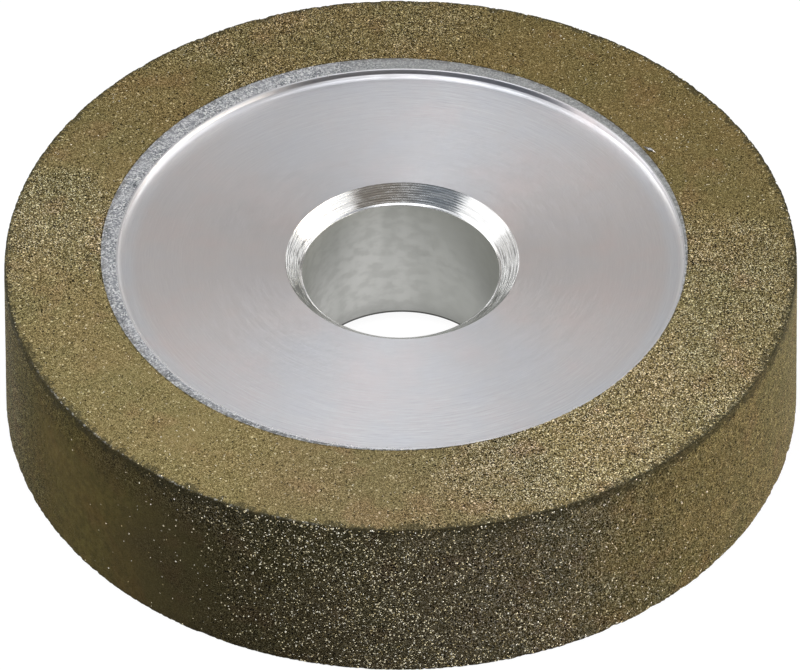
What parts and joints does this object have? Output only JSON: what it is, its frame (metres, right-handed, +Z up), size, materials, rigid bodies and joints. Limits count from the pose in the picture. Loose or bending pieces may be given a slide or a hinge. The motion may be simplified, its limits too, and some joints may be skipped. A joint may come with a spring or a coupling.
{
  "type": "resin-bonded diamond grinding wheel",
  "caption": "Plain disc grinding wheel: a diamond and resin ring moulded with a little draft on a turned aluminium hub, which is recessed on both faces and has a chamfered bore.",
  "frame": {"origin": "on the bore axis, in the plane of the lower face", "axes": "+Z up the bore, away from the face that the wheel lies on; +X and +Y in the face"},
  "size_m": [0.0814, 0.0814, 0.0186],
  "materials": {
    "hub_aluminium": "fine turned aluminium, bright on the recess floor, coarser turned on the bore chamfer, matt and sparkling on the unmachined band",
    "diamond_resin": "matt olive-brown resin with fine diamond grit and small pits"
  },
  "bodies": {
    "root": {"hub": "hub_aluminium", "abrasive_ring": "diamond_resin"}
  },
  "joints": []
}
